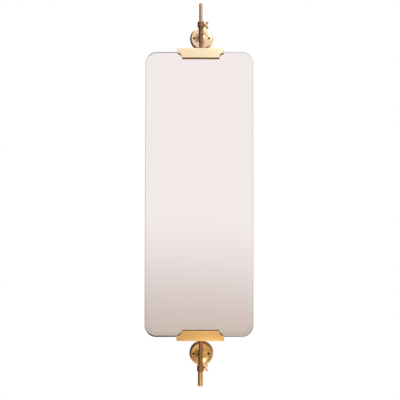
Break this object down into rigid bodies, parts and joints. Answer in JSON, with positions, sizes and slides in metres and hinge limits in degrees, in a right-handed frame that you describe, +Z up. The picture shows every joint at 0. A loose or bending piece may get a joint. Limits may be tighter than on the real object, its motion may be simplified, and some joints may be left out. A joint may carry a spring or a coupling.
{
  "type": "pivot wall mirror",
  "caption": "Tall bevelled wall mirror that swivels on brass rods between an upper and a lower wall bracket, with wing screws that lock it.",
  "frame": {"origin": "middle of the lower wall plate's back face, between its two screw holes", "axes": "+Z up along the rods, +Y into the wall, -Y towards the viewer, +X to the viewer's right"},
  "size_m": [0.38, 0.0922, 1.344],
  "materials": {
    "brass": "worn satin",
    "polished_brass": "polished, lightly brushed",
    "pad_brass": "turned",
    "steel": "satin",
    "mirror": "silvered glass",
    "board": "matt brown hardboard",
    "liner": "matt"
  },
  "bodies": {
    "wall_brackets": {"upper_wall_plate": "brass", "upper_plate_bolt": "steel", "upper_arm": "brass", "upper_sleeve": "brass", "lower_wall_plate": "brass", "lower_plate_bolt": "steel", "lower_arm": "brass", "lower_sleeve": "brass"},
    "height_post": {"lower_post": "brass", "thrust_ball": "steel"},
    "mirror": {"mirror_glass": "mirror", "backing_board": "board", "upper_clamp_front": "polished_brass", "upper_clamp_back": "brass", "upper_clamp_liner": "liner", "upper_clamp_screws": "steel", "upper_rod": "polished_brass", "upper_rod_grub_screw": "steel", "lower_clamp_front": "polished_brass", "lower_clamp_back": "brass", "lower_clamp_liner": "liner", "lower_clamp_screws": "steel", "lower_rod": "brass", "lower_rod_grub_screw": "steel"},
    "upper_pad": {"upper_pressure_pad": "pad_brass"},
    "upper_wing": {"upper_wing_screw": "polished_brass"},
    "lower_pad": {"lower_pressure_pad": "pad_brass"},
    "lower_wing": {"lower_wing_screw": "polished_brass"}
  },
  "joints": [
    {"name": "post_height", "type": "slide", "parent": "wall_brackets", "child": "height_post", "axis": [0, 0, 1], "range_m": [-0.025, 0]},
    {"name": "mirror_swivel", "type": "hinge", "parent": "height_post", "child": "mirror", "pos_m": [0, -0.075, 0], "axis": [0, 0, 1], "range_deg": [-21, 21]},
    {"name": "upper_pad_travel", "type": "slide", "parent": "wall_brackets", "child": "upper_pad", "axis": [1, 0, 0], "range_m": [0, 0.0012]},
    {"name": "upper_wing_turn", "type": "hinge", "parent": "upper_pad", "child": "upper_wing", "pos_m": [0, -0.075, 1.17125], "axis": [1, 0, 0], "range_deg": [0, 540]},
    {"name": "lower_pad_travel", "type": "slide", "parent": "wall_brackets", "child": "lower_pad", "axis": [1, 0, 0], "range_m": [0, 0.0012]},
    {"name": "lower_wing_turn", "type": "hinge", "parent": "lower_pad", "child": "lower_wing", "pos_m": [0, -0.075, -0.03125], "axis": [1, 0, 0], "range_deg": [0, 540]}
  ],
  "couplings": [
    {"joint": "upper_wing_turn", "follows": "upper_pad_travel", "rad_per_m": 7854},
    {"joint": "lower_wing_turn", "follows": "lower_pad_travel", "rad_per_m": 7854}
  ]
}
